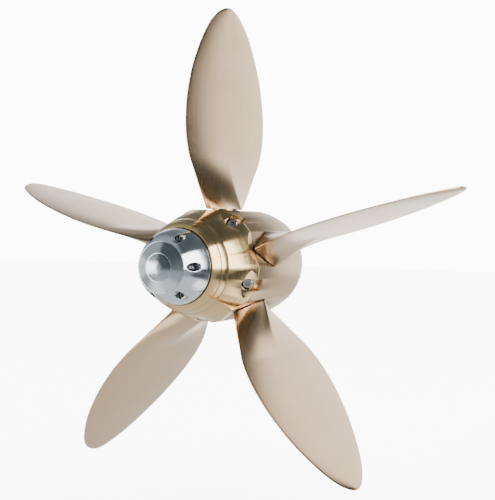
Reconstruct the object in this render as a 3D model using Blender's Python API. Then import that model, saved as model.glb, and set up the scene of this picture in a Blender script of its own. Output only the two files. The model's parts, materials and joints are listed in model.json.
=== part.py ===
"""Five-blade feathering propeller for a yacht's shaft, modelled in metres.

The shaft runs along Y and the water flows past towards -Y. The origin is the centre of the
shaft boss's forward face, where the shaft goes in. Stations along the shaft are measured
from the plane of the five blade axes, positive towards the shaft.
"""
import math

import bmesh
import bpy
from mathutils import Matrix

GAP = 0.0003
ROUND_STEPS = 48
SMALL_STEPS = 16
BORE_STEPS = 24
SLOT_STEPS = 12

BLADE_COUNT = 5
BLADE_PLANE_Y = -0.116
FIRST_BLADE_AZIMUTH = 90.0
PROPELLER_RADIUS = 0.355

HUB_RADIUS = 0.0788
HUB_RIM_STATION = 0.114
HUB_RIM_ROUND = 0.003
CROWN_START = 0.036
CROWN_LENGTH = 0.087
CROWN_DROP = 0.0153
CROWN_STEPS = 7
SEAT_RADIUS = 0.0748
SEAT_HALF_WIDTH = 0.0275
PARTING_STATION = -0.0455
SHOULDER_STATION = -0.050
SHOULDER_RADIUS = 0.0784
CONE_END_STATION = -0.101
CONE_END_RADIUS = 0.0626
CAVITY_RADIUS = 0.050
CAVITY_START = 0.037
COVER_CAVITY_RADIUS = 0.044
COVER_CAVITY_END = -0.072
SPIGOT_RADIUS = 0.045
SPIGOT_END = -0.1225

NARROW_RING_END = -0.1122
NARROW_RING_END_RADIUS = 0.0585
GROOVE_WIDTH = 0.0008
WIDE_RING_END = -0.1242
WIDE_RING_END_RADIUS = 0.0513
RING_BORE = SPIGOT_RADIUS + GAP

ANODE_RADIUS = 0.0497
ANODE_RECESS_RADIUS = 0.0503
ANODE_BACK = SPIGOT_END - GAP
ANODE_RIM_END = -0.1275
ANODE_STEP_STATION = -0.1645
ANODE_STEP_RADIUS = 0.0333
ANODE_STEP_HEIGHT = 0.0008
NOSE_RING_RADIUS = 0.0185
NOSE_RING_STATION = -0.1705
NOSE_TIP_STATION = -0.1765
ANODE_HOLE_CIRCLE = 0.041
ANODE_HOLE_RADIUS = 0.0056
ANODE_HOLE_AZIMUTH = 3.0
ANODE_HOLE_COUNT = 6
ANODE_SCREW_SEAT = -0.141
ANODE_BLIND_FLOOR = -0.143

BOSS_RADIUS = 0.036
BOSS_FACE_STATION = -BLADE_PLANE_Y
BOSS_END_STATION = -0.052
BOSS_FLANGE_RADIUS = 0.0475
BOSS_FLANGE_FRONT = 0.0345
BORE_MOUTH_RADIUS = 0.0225
BORE_TAPER = 0.05
BORE_END_STATION = 0.000
NUT_RECESS_RADIUS = 0.0245
KEYWAY_WIDTH = 0.012
KEYWAY_DEPTH = 0.0045
BOSS_CHAMFER = 0.0015

CENTRE_GEAR_TEETH = 36
BLADE_GEAR_TEETH = 16
GEAR_CLEARANCE = 0.0006
BLADE_GEAR_OUTER = 0.0540
BLADE_GEAR_INNER = 0.0440
STEM_RADIUS = 0.0180
STEM_END = 0.0546
SPIGOT_STEM_RADIUS = 0.0120
SPIGOT_STEM_END = 0.0420
GEAR_POCKET_RADIUS = 0.0250
GEAR_POCKET_TOP = 0.0549

BLADE_BASE_RADIUS = 0.0762
BASE_HALF_THICKNESS = 0.0258
ROOT_END_RADIUS = 0.150
BLADE_MID_THICKNESS = 0.0044
BLADE_TIP_THICKNESS = 0.0020
EDGE_THICKNESS = 0.0012
TIP_ROUNDNESS = 6
HALF_CHORDS = ((0.0756, 0.0512), (0.12, 0.0845), (0.16, 0.1092), (0.20, 0.1160),
               (0.25, 0.1106), (0.30, 0.0967), (0.335, 0.0851), (0.355, 0.0730))
CHORD_FRACTIONS = (1.0, 0.93, 0.7, 0.35, 0.0, -0.35, -0.7, -0.93, -1.0)
BLADE_RINGS = 18

HUB_SCREW_HEAD_RADIUS = 0.0065
HUB_SCREW_HEAD_LENGTH = 0.006
HUB_SCREW_SHANK_RADIUS = 0.004
HUB_SCREW_LENGTH = 0.030
HUB_SCREW_SOCKET_WIDTH = 0.006
HUB_SCREW_HEAD_STATION = -0.0555
HUB_SCREW_HEAD_HEIGHT = 0.0700
HUB_SCREW_TILT = 24.0
HEAD_POCKET_RADIUS = 0.0078
RECESS_RADIUS = 0.0225
RECESS_STATION = -0.0505
RECESS_HEIGHT = 0.0770
SLOT_HALF_WIDTH = 0.0085
SLOT_END_STATION = -0.028
SLOT_OPEN_STATION = -0.054
SLOT_FLOOR = 0.0730

ANODE_SCREW_HEAD_RADIUS = 0.005
ANODE_SCREW_HEAD_LENGTH = 0.006
ANODE_SCREW_SHANK_RADIUS = 0.003
ANODE_SCREW_LENGTH = 0.032
ANODE_SCREW_SOCKET_WIDTH = 0.005
SOCKET_DEPTH_SHARE = 0.55
THREAD_RUNOUT = 0.002

SEAT_TOOL_SIZE = 0.02
BORE_TOOL_LOW = 0.03
TOOL_REACH = 0.1

BRONZE = (0.62, 0.44, 0.22)
BLADE_BRONZE = (0.55, 0.42, 0.28)
ALUMINIUM = (0.66, 0.68, 0.70)
STEEL = (0.55, 0.55, 0.55)


def clear_scene():
    for item in list(bpy.data.objects):
        bpy.data.objects.remove(item, do_unlink=True)


def metal(name, colour, roughness):
    material = bpy.data.materials.new(name)
    material.use_nodes = True
    shader = material.node_tree.nodes["Principled BSDF"]
    shader.inputs["Base Color"].default_value = (*colour, 1.0)
    shader.inputs["Metallic"].default_value = 1.0
    shader.inputs["Roughness"].default_value = roughness
    return material


def add_object(name, shape, parent=None, colour=BRONZE, roughness=0.3):
    """Turns a bmesh into a named object with a material of its own."""
    bmesh.ops.recalc_face_normals(shape, faces=shape.faces)
    mesh = bpy.data.meshes.new(name)
    shape.to_mesh(mesh)
    shape.free()
    mesh.shade_smooth()
    mesh.set_sharp_from_angle(angle=math.radians(30))
    item = bpy.data.objects.new(name, mesh)
    bpy.context.collection.objects.link(item)
    mesh.materials.append(metal(name + "_metal", colour, roughness))
    item.parent = parent
    return item


def add_pivot(name, matrix, parent=None):
    """An empty that stands on a joint's axis and carries the pieces that turn with it."""
    pivot = bpy.data.objects.new(name, None)
    pivot.empty_display_size = 0.03
    bpy.context.collection.objects.link(pivot)
    pivot.parent = parent
    pivot.matrix_local = matrix
    return pivot


def turned(profile, steps=ROUND_STEPS):
    """A closed profile of (radius, height) points, spun about Z. Points on the axis are poles."""
    shape = bmesh.new()
    rings = []
    for radius, height in profile:
        if radius == 0.0:
            rings.append([shape.verts.new((0.0, 0.0, height))])
            continue
        ring = []
        for step in range(steps):
            angle = 2.0 * math.pi * step / steps
            ring.append(shape.verts.new((radius * math.cos(angle), radius * math.sin(angle), height)))
        rings.append(ring)
    for index, ring in enumerate(rings):
        following = rings[(index + 1) % len(rings)]
        if len(ring) == 1 and len(following) == 1:
            continue
        for step in range(steps):
            after = (step + 1) % steps
            if len(ring) == 1:
                corners = (ring[0], following[step], following[after])
            elif len(following) == 1:
                corners = (ring[step], following[0], ring[after])
            else:
                corners = (ring[step], following[step], following[after], ring[after])
            shape.faces.new(corners)
    return shape


def along_shaft(shape):
    """Lays a shape that was turned about Z along the shaft, with its +Z towards +Y."""
    shape.transform(Matrix.Rotation(math.radians(-90.0), 4, "X"))
    return shape


def cylinder(radius, low, high, steps=SMALL_STEPS):
    return turned(((0.0, low), (radius, low), (radius, high), (0.0, high)), steps)


def cutter(name, shape, parent):
    """A hidden solid that only takes material away."""
    item = add_object(name, shape, parent)
    item.hide_render = True
    item.display_type = "WIRE"
    return item


def cut(target, tool):
    """Takes the tool's volume out of the target."""
    boolean = target.modifiers.new("cut_" + tool.name, "BOOLEAN")
    boolean.operation = "DIFFERENCE"
    boolean.object = tool


def azimuth_matrix(degrees):
    """Turns +Z, the first direction a radial piece is built in, to an azimuth from +X to +Z."""
    return Matrix.Rotation(math.radians(90.0 - degrees), 4, "Y")


def blade_azimuth(index):
    return FIRST_BLADE_AZIMUTH - index * 360.0 / BLADE_COUNT


def rounded_shoulder(start, corner, end, points=5):
    """Points of a quadratic curve from start to end that leans towards the corner."""
    curve = []
    for step in range(points + 1):
        share = step / points
        blend = [(1 - share) ** 2 * a + 2 * share * (1 - share) * b + share ** 2 * c
                 for a, b, c in zip(start, corner, end)]
        curve.append(tuple(blend))
    return curve


def seat_cutter(parent):
    """One block for each blade, whose inner face is the flat seat that the blade turns on."""
    shape = bmesh.new()
    for index in range(BLADE_COUNT):
        block = bmesh.ops.create_cube(shape, size=1.0)["verts"]
        length = HUB_RIM_STATION - CONE_END_STATION + 2 * SEAT_TOOL_SIZE
        size = Matrix.Diagonal((2 * SEAT_HALF_WIDTH, length, SEAT_TOOL_SIZE, 1.0))
        place = Matrix.Translation((0.0, HUB_RIM_STATION + SEAT_TOOL_SIZE - length / 2,
                                    SEAT_RADIUS + SEAT_TOOL_SIZE / 2))
        bmesh.ops.transform(shape, verts=block, matrix=azimuth_matrix(blade_azimuth(index)) @ place @ size)
    return cutter("seat_cutter", shape, parent)


def screw_azimuth(index):
    """The hub screws lie midway between the blades."""
    return azimuth_matrix(blade_azimuth(index) - 180.0 / BLADE_COUNT)


def screw_matrix(index):
    """Frame of a hub screw: +Z runs along the screw towards its head, aft and outwards."""
    lean = Matrix.Rotation(math.radians(90.0 - HUB_SCREW_TILT), 4, "X")
    place = Matrix.Translation((0.0, HUB_SCREW_HEAD_STATION, HUB_SCREW_HEAD_HEIGHT))
    return screw_azimuth(index) @ place @ lean


def recess_matrix(index):
    """Frame of the wide recess round a screw: its floor runs parallel to the screw."""
    lean = Matrix.Rotation(math.radians(HUB_SCREW_TILT), 4, "X")
    place = Matrix.Translation((0.0, RECESS_STATION, RECESS_HEIGHT))
    return screw_azimuth(index) @ place @ lean


def slot_shape():
    """A milled slot with one round end, standing on its floor, with the round end forward."""
    centre = SLOT_END_STATION - SLOT_HALF_WIDTH
    outline = [(SLOT_HALF_WIDTH, SLOT_OPEN_STATION)]
    for step in range(SLOT_STEPS + 1):
        angle = math.pi * step / SLOT_STEPS
        outline.append((SLOT_HALF_WIDTH * math.cos(angle), centre + SLOT_HALF_WIDTH * math.sin(angle)))
    outline.append((-SLOT_HALF_WIDTH, SLOT_OPEN_STATION))
    shape = bmesh.new()
    low = [shape.verts.new((x, y, SLOT_FLOOR)) for x, y in outline]
    high = [shape.verts.new((x, y, TOOL_REACH)) for x, y in outline]
    for step in range(len(outline)):
        after = (step + 1) % len(outline)
        shape.faces.new((low[step], low[after], high[after], high[step]))
    shape.faces.new(list(reversed(low)))
    shape.faces.new(high)
    return shape


def repeated_cutter(name, parent, make_piece, places):
    """One cutter that holds a copy of a piece at each place."""
    shape = bmesh.new()
    for matrix in places:
        piece = make_piece()
        piece.transform(matrix)
        mesh = bpy.data.meshes.new(name + "_part")
        piece.to_mesh(mesh)
        piece.free()
        shape.from_mesh(mesh)
        bpy.data.meshes.remove(mesh)
    return cutter(name, shape, parent)


def crown_radius(station):
    """The drum's outside, which rounds off towards the shaft along part of an ellipse."""
    share = max(0.0, station - CROWN_START) / CROWN_LENGTH
    return HUB_RADIUS - CROWN_DROP * (1.0 - math.sqrt(1.0 - share ** 2))


def make_hub_body(pivot, tools):
    """The forward half: a turned drum with a long bearing for the boss and five blade bores."""
    bearing = BOSS_RADIUS + GAP
    crown_end = HUB_RIM_STATION - HUB_RIM_ROUND
    rim = crown_radius(crown_end)
    profile = [(bearing, HUB_RIM_STATION)]
    profile += rounded_shoulder((rim - HUB_RIM_ROUND, HUB_RIM_STATION), (rim, HUB_RIM_STATION),
                                (rim, crown_end), 3)
    for step in range(1, CROWN_STEPS + 1):
        station = crown_end + (CROWN_START - crown_end) * step / CROWN_STEPS
        profile.append((crown_radius(station), station))
    profile += [(HUB_RADIUS, PARTING_STATION), (CAVITY_RADIUS, PARTING_STATION),
                (CAVITY_RADIUS, CAVITY_START), (bearing, CAVITY_START)]
    body = add_object("hub_body", along_shaft(turned(profile)), pivot, BLADE_BRONZE, 0.4)
    for tool in ("seat", "stem_bore", "gear_pocket", "slot", "thread_hole"):
        cut(body, tools[tool])


def make_hub_cover(pivot, tools):
    """The aft half: a turned cone that closes the gear case and carries the rings and anode."""
    top = PARTING_STATION - GAP
    profile = [(COVER_CAVITY_RADIUS, top)]
    profile += rounded_shoulder((HUB_RADIUS, top), (SHOULDER_RADIUS + 0.0003, SHOULDER_STATION),
                                (SHOULDER_RADIUS - 0.0012, SHOULDER_STATION - 0.004), 3)
    profile += [(CONE_END_RADIUS, CONE_END_STATION), (SPIGOT_RADIUS, CONE_END_STATION),
                (SPIGOT_RADIUS, SPIGOT_END), (0.0, SPIGOT_END),
                (0.0, COVER_CAVITY_END), (COVER_CAVITY_RADIUS, COVER_CAVITY_END)]
    cover = add_object("hub_cover", along_shaft(turned(profile)), pivot, BRONZE, 0.2)
    for tool in ("seat", "slot", "recess", "head_pocket", "thread_hole", "anode_thread"):
        cut(cover, tools[tool])


def make_rings(pivot):
    """Two turned rings on the cover's spigot, with fine grooves between them."""
    start = CONE_END_STATION - GROOVE_WIDTH
    narrow = [(RING_BORE, start), (CONE_END_RADIUS - 0.0003, start),
              (NARROW_RING_END_RADIUS, NARROW_RING_END), (RING_BORE, NARROW_RING_END)]
    add_object("narrow_ring", along_shaft(turned(narrow)), pivot, BRONZE, 0.2)
    start = NARROW_RING_END - GROOVE_WIDTH
    wide = [(RING_BORE, start)]
    wide += rounded_shoulder((NARROW_RING_END_RADIUS - 0.0003, start),
                             (WIDE_RING_END_RADIUS + 0.0032, WIDE_RING_END + 0.003),
                             (WIDE_RING_END_RADIUS, WIDE_RING_END), 4)
    wide += [(ANODE_RECESS_RADIUS, WIDE_RING_END), (ANODE_RECESS_RADIUS, ANODE_BACK + GAP),
             (RING_BORE, ANODE_BACK + GAP)]
    add_object("wide_ring", along_shaft(turned(wide)), pivot, BRONZE, 0.15)


def anode_hole_matrix(index):
    """Frame of one of the anode's six holes, with +Z pointing aft out of its mouth."""
    azimuth = math.radians(ANODE_HOLE_AZIMUTH + index * 360.0 / ANODE_HOLE_COUNT)
    place = Matrix.Translation((ANODE_HOLE_CIRCLE * math.cos(azimuth), 0.0,
                                ANODE_HOLE_CIRCLE * math.sin(azimuth)))
    return place @ Matrix.Rotation(math.radians(90.0), 4, "X")


def make_anode(pivot, tools):
    """The sacrificial nose: a dome with a stepped end, turned from the solid."""
    profile = [(0.0, ANODE_BACK), (ANODE_RADIUS, ANODE_BACK)]
    profile += rounded_shoulder((ANODE_RADIUS, ANODE_RIM_END),
                                (ANODE_RADIUS - 0.0035, ANODE_RIM_END - 0.0225),
                                (ANODE_STEP_RADIUS, ANODE_STEP_STATION), 9)
    profile += [(ANODE_STEP_RADIUS - ANODE_STEP_HEIGHT, ANODE_STEP_STATION),
                (NOSE_RING_RADIUS, NOSE_RING_STATION),
                (NOSE_RING_RADIUS - ANODE_STEP_HEIGHT, NOSE_RING_STATION),
                (0.0, NOSE_TIP_STATION)]
    anode = add_object("anode", along_shaft(turned(profile)), pivot, ALUMINIUM, 0.2)
    for tool in ("anode_counterbore", "anode_blind", "anode_clearance"):
        cut(anode, tools[tool])


def socket_screw(name, head_radius, head_length, shank_radius, length, socket_width, parent, matrix):
    """A socket head screw: +Z is its head's end, which lies at the frame's origin."""
    profile = [(0.0, 0.0), (head_radius - 0.0004, 0.0), (head_radius, -0.0004),
               (head_radius, -head_length), (shank_radius, -head_length),
               (shank_radius, -length + 0.0006), (shank_radius - 0.0006, -length), (0.0, -length)]
    screw = add_object(name, turned(profile, 24), parent, STEEL, 0.25)
    screw.matrix_local = matrix
    depth = head_length * SOCKET_DEPTH_SHARE
    hexagon = cylinder(socket_width / math.sqrt(3.0), -depth, 0.002, 6)
    socket = cutter(name + "_socket", hexagon, parent)
    socket.matrix_local = matrix
    cut(screw, socket)


def make_boss():
    """The shaft boss: taper bore and keyway for the shaft, and the flange of the centre gear."""
    ratio = BLADE_GEAR_TEETH / CENTRE_GEAR_TEETH
    gear_tip = BOSS_FLANGE_RADIUS * ratio + GEAR_CLEARANCE
    gear_root = BOSS_RADIUS * ratio + GEAR_CLEARANCE
    bore_length = BOSS_FACE_STATION - BORE_END_STATION
    bore_end_radius = BORE_MOUTH_RADIUS - BORE_TAPER * bore_length
    profile = [(BORE_MOUTH_RADIUS, BOSS_FACE_STATION),
               (BOSS_RADIUS - BOSS_CHAMFER, BOSS_FACE_STATION),
               (BOSS_RADIUS, BOSS_FACE_STATION - BOSS_CHAMFER),
               (BOSS_RADIUS, BOSS_FLANGE_FRONT), (BOSS_FLANGE_RADIUS, BOSS_FLANGE_FRONT),
               (BOSS_FLANGE_RADIUS, gear_tip), (BOSS_RADIUS, gear_root),
               (BOSS_RADIUS, BOSS_END_STATION), (NUT_RECESS_RADIUS, BOSS_END_STATION),
               (NUT_RECESS_RADIUS, BORE_END_STATION), (bore_end_radius, BORE_END_STATION)]
    place = add_pivot("boss_centre", Matrix.Translation((0.0, BLADE_PLANE_Y, 0.0)))
    boss = add_object("shaft_boss", along_shaft(turned(profile)), place, BRONZE, 0.35)
    shape = bmesh.new()
    bmesh.ops.create_cube(shape, size=1.0)
    length = bore_length + 0.01
    bmesh.ops.transform(shape, verts=shape.verts,
                        matrix=Matrix.Diagonal((KEYWAY_WIDTH, length, 0.02, 1.0)))
    keyway = cutter("keyway_cutter", shape, place)
    slope = Matrix.Rotation(math.atan(BORE_TAPER), 4, "X")
    middle_radius = BORE_MOUTH_RADIUS - BORE_TAPER * bore_length / 2
    keyway.matrix_local = Matrix.Translation((0.0, (BOSS_FACE_STATION + BORE_END_STATION) / 2 + 0.003,
                                              middle_radius + KEYWAY_DEPTH - 0.01)) @ slope
    cut(boss, keyway)


def half_chord(radius):
    """Half the blade's chord at a distance from the shaft, smooth through the stations."""
    share = min(radius / PROPELLER_RADIUS, 1.0)
    tip = math.sqrt(max(1.0 - share ** TIP_ROUNDNESS, 0.0))
    count = len(HALF_CHORDS)
    index = max(i for i in range(count - 1) if HALF_CHORDS[i][0] <= radius + 1e-9)
    slopes = []
    for i in (index, index + 1):
        before = HALF_CHORDS[max(i - 1, 0)]
        after = HALF_CHORDS[min(i + 1, count - 1)]
        slopes.append((after[1] - before[1]) / (after[0] - before[0]))
    low, high = HALF_CHORDS[index], HALF_CHORDS[index + 1]
    span = high[0] - low[0]
    t = (radius - low[0]) / span
    value = ((2 * t ** 3 - 3 * t ** 2 + 1) * low[1] + (t ** 3 - 2 * t ** 2 + t) * span * slopes[0]
             + (3 * t ** 2 - 2 * t ** 3) * high[1] + (t ** 3 - t ** 2) * span * slopes[1])
    return value * tip


def half_thickness(radius, fraction):
    """Half the blade's thickness: a diamond at the base that thins into a flat blade."""
    root = max(0.0, (ROOT_END_RADIUS - radius) / (ROOT_END_RADIUS - BLADE_BASE_RADIUS))
    outboard = (radius - BLADE_BASE_RADIUS) / (PROPELLER_RADIUS - BLADE_BASE_RADIUS)
    plate = BLADE_MID_THICKNESS + (BLADE_TIP_THICKNESS - BLADE_MID_THICKNESS) * outboard
    flat = (1.0 - abs(fraction) ** 3) * plate + EDGE_THICKNESS / 2
    ridge = (BASE_HALF_THICKNESS - plate) * root ** 1.25 * max(0.0, 1.0 - abs(fraction))
    return flat * (1.0 - root) + root * (plate * (1.0 - abs(fraction)) + EDGE_THICKNESS / 2) + ridge


def blade_section(radius):
    """Points round one section, as (along the chord, across the blade), once round."""
    chord = half_chord(radius)
    upper = [(chord * f, half_thickness(radius, f)) for f in CHORD_FRACTIONS]
    lower = [(chord * f, -half_thickness(radius, f)) for f in reversed(CHORD_FRACTIONS)]
    return upper + lower


def blade_radii():
    """Stations from the base to the tip, closer together where the outline rounds off."""
    span = PROPELLER_RADIUS - 0.0003 - BLADE_BASE_RADIUS
    return [BLADE_BASE_RADIUS + span * math.sin(0.5 * math.pi * step / BLADE_RINGS)
            for step in range(BLADE_RINGS + 1)]


def blade_shape():
    """One blade along +Z with its chord along Y, and its stem that turns in the hub."""
    shape = bmesh.new()
    base = blade_section(BLADE_BASE_RADIUS)
    around = [math.atan2(x, y) for y, x in base]
    rings = []
    for radius, height in ((SPIGOT_STEM_RADIUS, SPIGOT_STEM_END), (SPIGOT_STEM_RADIUS, STEM_END),
                           (STEM_RADIUS, STEM_END), (STEM_RADIUS, BLADE_BASE_RADIUS)):
        rings.append([(radius * math.sin(a), radius * math.cos(a), height) for a in around])
    for radius in blade_radii():
        rings.append([(x, y, radius) for y, x in blade_section(radius)])
    loops = [[shape.verts.new(point) for point in ring] for ring in rings]
    count = len(base)
    for low, high in zip(loops, loops[1:]):
        for step in range(count):
            after = (step + 1) % count
            shape.faces.new((low[step], low[after], high[after], high[step]))
    shape.faces.new(list(reversed(loops[0])))
    shape.faces.new(loops[-1])
    return shape


def gear_shape():
    """The bevel gear on a blade's stem, as the plain cone that its teeth are cut from."""
    ratio = BLADE_GEAR_TEETH / CENTRE_GEAR_TEETH
    bore = SPIGOT_STEM_RADIUS + GAP
    return turned(((bore, BLADE_GEAR_INNER), (BLADE_GEAR_INNER * ratio, BLADE_GEAR_INNER),
                   (BLADE_GEAR_OUTER * ratio, BLADE_GEAR_OUTER), (bore, BLADE_GEAR_OUTER)), 32)


def make_blades(housing):
    """Five blades, each on a pivot at the hub's centre that turns about the blade's own axis."""
    for index in range(BLADE_COUNT):
        pivot = add_pivot(f"blade_pivot_{index + 1}", azimuth_matrix(blade_azimuth(index)), housing)
        add_object(f"blade_{index + 1}", blade_shape(), pivot, BLADE_BRONZE, 0.4)
        add_object(f"blade_gear_{index + 1}", gear_shape(), pivot, STEEL, 0.4)


def make_hub_screws(housing):
    for index in range(BLADE_COUNT):
        socket_screw(f"hub_screw_{index + 1}", HUB_SCREW_HEAD_RADIUS, HUB_SCREW_HEAD_LENGTH,
                     HUB_SCREW_SHANK_RADIUS, HUB_SCREW_LENGTH, HUB_SCREW_SOCKET_WIDTH,
                     housing, screw_matrix(index))


def make_anode_screws(housing):
    head_end = GAP + ANODE_SCREW_HEAD_LENGTH - ANODE_SCREW_SEAT
    for index in range(1, ANODE_HOLE_COUNT, 2):
        matrix = anode_hole_matrix(index) @ Matrix.Translation((0.0, 0.0, head_end))
        socket_screw(f"anode_screw_{(index + 1) // 2}", ANODE_SCREW_HEAD_RADIUS, ANODE_SCREW_HEAD_LENGTH,
                     ANODE_SCREW_SHANK_RADIUS, ANODE_SCREW_LENGTH, ANODE_SCREW_SOCKET_WIDTH,
                     housing, matrix)


def make_tools(housing):
    """Every hidden cutter, by name."""
    blades = [azimuth_matrix(blade_azimuth(index)) for index in range(BLADE_COUNT)]
    screws = [screw_matrix(index) for index in range(BLADE_COUNT)]
    anode_holes = [anode_hole_matrix(index) for index in range(ANODE_HOLE_COUNT)]
    shank = HUB_SCREW_SHANK_RADIUS + GAP
    thread = ANODE_SCREW_SHANK_RADIUS + GAP
    thread_end = ANODE_SCREW_HEAD_LENGTH - ANODE_SCREW_LENGTH - ANODE_SCREW_SEAT - THREAD_RUNOUT

    def bores(name, places, radius, low, high, steps=BORE_STEPS):
        return repeated_cutter(name, housing, lambda: cylinder(radius, low, high, steps), places)

    return {
        "seat": seat_cutter(housing),
        "stem_bore": bores("stem_bore", blades, STEM_RADIUS + GAP, BORE_TOOL_LOW, TOOL_REACH, 32),
        "gear_pocket": bores("gear_pocket", blades, GEAR_POCKET_RADIUS, BORE_TOOL_LOW, GEAR_POCKET_TOP,
                             32),
        "slot": repeated_cutter("slot", housing, slot_shape,
                                [screw_azimuth(index) for index in range(BLADE_COUNT)]),
        "recess": bores("recess", [recess_matrix(index) for index in range(BLADE_COUNT)],
                        RECESS_RADIUS, 0.0, TOOL_REACH, 40),
        "head_pocket": bores("head_pocket", screws, HEAD_POCKET_RADIUS,
                             -HUB_SCREW_HEAD_LENGTH - GAP, TOOL_REACH),
        "thread_hole": bores("thread_hole", screws, shank, -HUB_SCREW_LENGTH - THREAD_RUNOUT, 0.0),
        "anode_counterbore": bores("anode_counterbore", anode_holes[1::2], ANODE_HOLE_RADIUS,
                                   -ANODE_SCREW_SEAT, TOOL_REACH - ANODE_BACK),
        "anode_blind": bores("anode_blind", anode_holes[0::2], ANODE_HOLE_RADIUS,
                             -ANODE_BLIND_FLOOR, TOOL_REACH - ANODE_BACK),
        "anode_clearance": bores("anode_clearance", anode_holes[1::2], thread,
                                 -ANODE_BACK - THREAD_RUNOUT, THREAD_RUNOUT - ANODE_SCREW_SEAT),
        "anode_thread": bores("anode_thread", anode_holes[1::2], thread, thread_end,
                              TOOL_REACH - ANODE_BACK),
    }


clear_scene()
make_boss()
hub_pivot = add_pivot("housing_pivot", Matrix.Translation((0.0, BLADE_PLANE_Y, 0.0)))
hidden_tools = make_tools(hub_pivot)
make_hub_body(hub_pivot, hidden_tools)
make_hub_cover(hub_pivot, hidden_tools)
make_rings(hub_pivot)
make_anode(hub_pivot, hidden_tools)
make_blades(hub_pivot)
make_hub_screws(hub_pivot)
make_anode_screws(hub_pivot)
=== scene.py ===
"""The look of a five-blade feathering propeller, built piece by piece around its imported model."""
import json
import math

import bmesh
import bpy
from mathutils import Matrix, Vector

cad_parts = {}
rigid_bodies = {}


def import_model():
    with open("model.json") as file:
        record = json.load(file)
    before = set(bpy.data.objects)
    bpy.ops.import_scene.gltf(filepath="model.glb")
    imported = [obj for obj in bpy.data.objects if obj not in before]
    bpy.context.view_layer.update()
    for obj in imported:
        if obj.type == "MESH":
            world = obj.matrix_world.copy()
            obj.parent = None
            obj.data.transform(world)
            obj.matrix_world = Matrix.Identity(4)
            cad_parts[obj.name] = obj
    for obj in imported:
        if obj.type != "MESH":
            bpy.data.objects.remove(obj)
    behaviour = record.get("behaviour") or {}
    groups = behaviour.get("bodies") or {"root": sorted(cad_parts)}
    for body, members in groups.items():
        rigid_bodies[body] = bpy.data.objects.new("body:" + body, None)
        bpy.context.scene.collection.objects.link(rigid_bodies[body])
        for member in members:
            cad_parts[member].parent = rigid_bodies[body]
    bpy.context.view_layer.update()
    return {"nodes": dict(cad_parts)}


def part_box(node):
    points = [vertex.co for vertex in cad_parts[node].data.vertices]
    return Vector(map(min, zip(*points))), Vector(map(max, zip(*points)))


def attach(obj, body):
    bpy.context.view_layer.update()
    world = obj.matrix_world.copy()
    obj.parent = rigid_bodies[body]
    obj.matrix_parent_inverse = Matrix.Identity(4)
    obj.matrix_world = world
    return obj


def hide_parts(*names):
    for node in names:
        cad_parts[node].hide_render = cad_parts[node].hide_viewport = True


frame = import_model()


# The shaft boss is turned and bored in bronze. It grips the tapered shaft with a key and
# stays still on it while the hub swings round it, and its flange carries the centre gear.
BLADE_PLANE_Y = -0.116
BOSS_FACE_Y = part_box("shaft_boss")[1][1]
BOSS_RADIUS = 0.036
BOSS_END_STATION = -0.052
BOSS_FLANGE_RADIUS = 0.0475
BOSS_FLANGE_FRONT = 0.0345
GEAR_CONE_SLOPE = 16 / 36
BORE_MOUTH_RADIUS = 0.0225
BORE_TAPER = 0.05
NUT_RECESS_RADIUS = 0.0245
KEYWAY_WIDTH = 0.012
KEYWAY_DEPTH = 0.0045
CUT_EDGE_SOFTNESS = 0.0003
SHARP_ANGLE = math.radians(11)
FINE_STEPS = 192


def turned_on_shaft(profile, steps=FINE_STEPS):
    """A closed profile of (radius, station) points spun about the shaft; radius 0 is a pole."""
    shape = bmesh.new()
    rings = []
    for radius, station in profile:
        y = BLADE_PLANE_Y + station
        count = 1 if radius == 0.0 else steps
        turns = [2.0 * math.pi * step / steps for step in range(count)]
        rings.append([shape.verts.new((radius * math.cos(a), y, radius * math.sin(a))) for a in turns])
    for ring, following in zip(rings, rings[1:] + rings[:1]):
        if len(ring) == 1 and len(following) == 1:
            continue
        for step in range(steps):
            after = (step + 1) % steps
            corners = [ring[step % len(ring)], following[step % len(following)]]
            corners += [following[after % len(following)], ring[after % len(ring)]]
            shape.faces.new(list(dict.fromkeys(corners)))
    bmesh.ops.recalc_face_normals(shape, faces=shape.faces)
    return shape


def arc_between(start, corner, end, points):
    """Points of a quadratic curve from start to end that leans towards the corner."""
    curve = []
    for step in range(points + 1):
        t = step / points
        curve.append(tuple((1 - t) ** 2 * a + 2 * t * (1 - t) * b + t ** 2 * c
                           for a, b, c in zip(start, corner, end)))
    return curve


def loose_object(name, shape):
    mesh = bpy.data.meshes.new(name)
    shape.to_mesh(mesh)
    shape.free()
    item = bpy.data.objects.new(name, mesh)
    bpy.context.scene.collection.objects.link(item)
    return item


def finished_mesh(item):
    """Swaps an object's modifiers for their result."""
    bpy.context.view_layer.update()
    result = bpy.data.meshes.new_from_object(item.evaluated_get(bpy.context.evaluated_depsgraph_get()))
    item.modifiers.clear()
    item.data = result
    return item


def machined(name, shape, tools=(), softness=CUT_EDGE_SOFTNESS):
    """Cuts a turned blank with milling tools, then breaks its sharp edges with a small round."""
    item = loose_object(name, shape)
    for index, tool in enumerate(tools):
        cutter = loose_object(f"{name}_tool_{index}", tool)
        cut = item.modifiers.new(f"cut_{index}", "BOOLEAN")
        cut.operation = "DIFFERENCE"
        cut.object = cutter
    finished_mesh(item)
    for cutter in [o for o in bpy.data.objects if o.name.startswith(name + "_tool_")]:
        bpy.data.objects.remove(cutter, do_unlink=True)
    if softness > 0.0:
        edge_break = item.modifiers.new("edge_break", "BEVEL")
        edge_break.width = softness
        edge_break.segments = 2
        edge_break.limit_method = "ANGLE"
        edge_break.angle_limit = SHARP_ANGLE
        edge_break.use_clamp_overlap = True
        edge_break.harden_normals = False
        finished_mesh(item)
    item.data.shade_smooth()
    item.data.set_sharp_from_angle(angle=math.radians(26))
    return item


def milled_block(width, length, height, matrix):
    shape = bmesh.new()
    bmesh.ops.create_cube(shape, size=1.0)
    shape.transform(matrix @ Matrix.Diagonal((width, length, height, 1.0)))
    return shape


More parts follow.
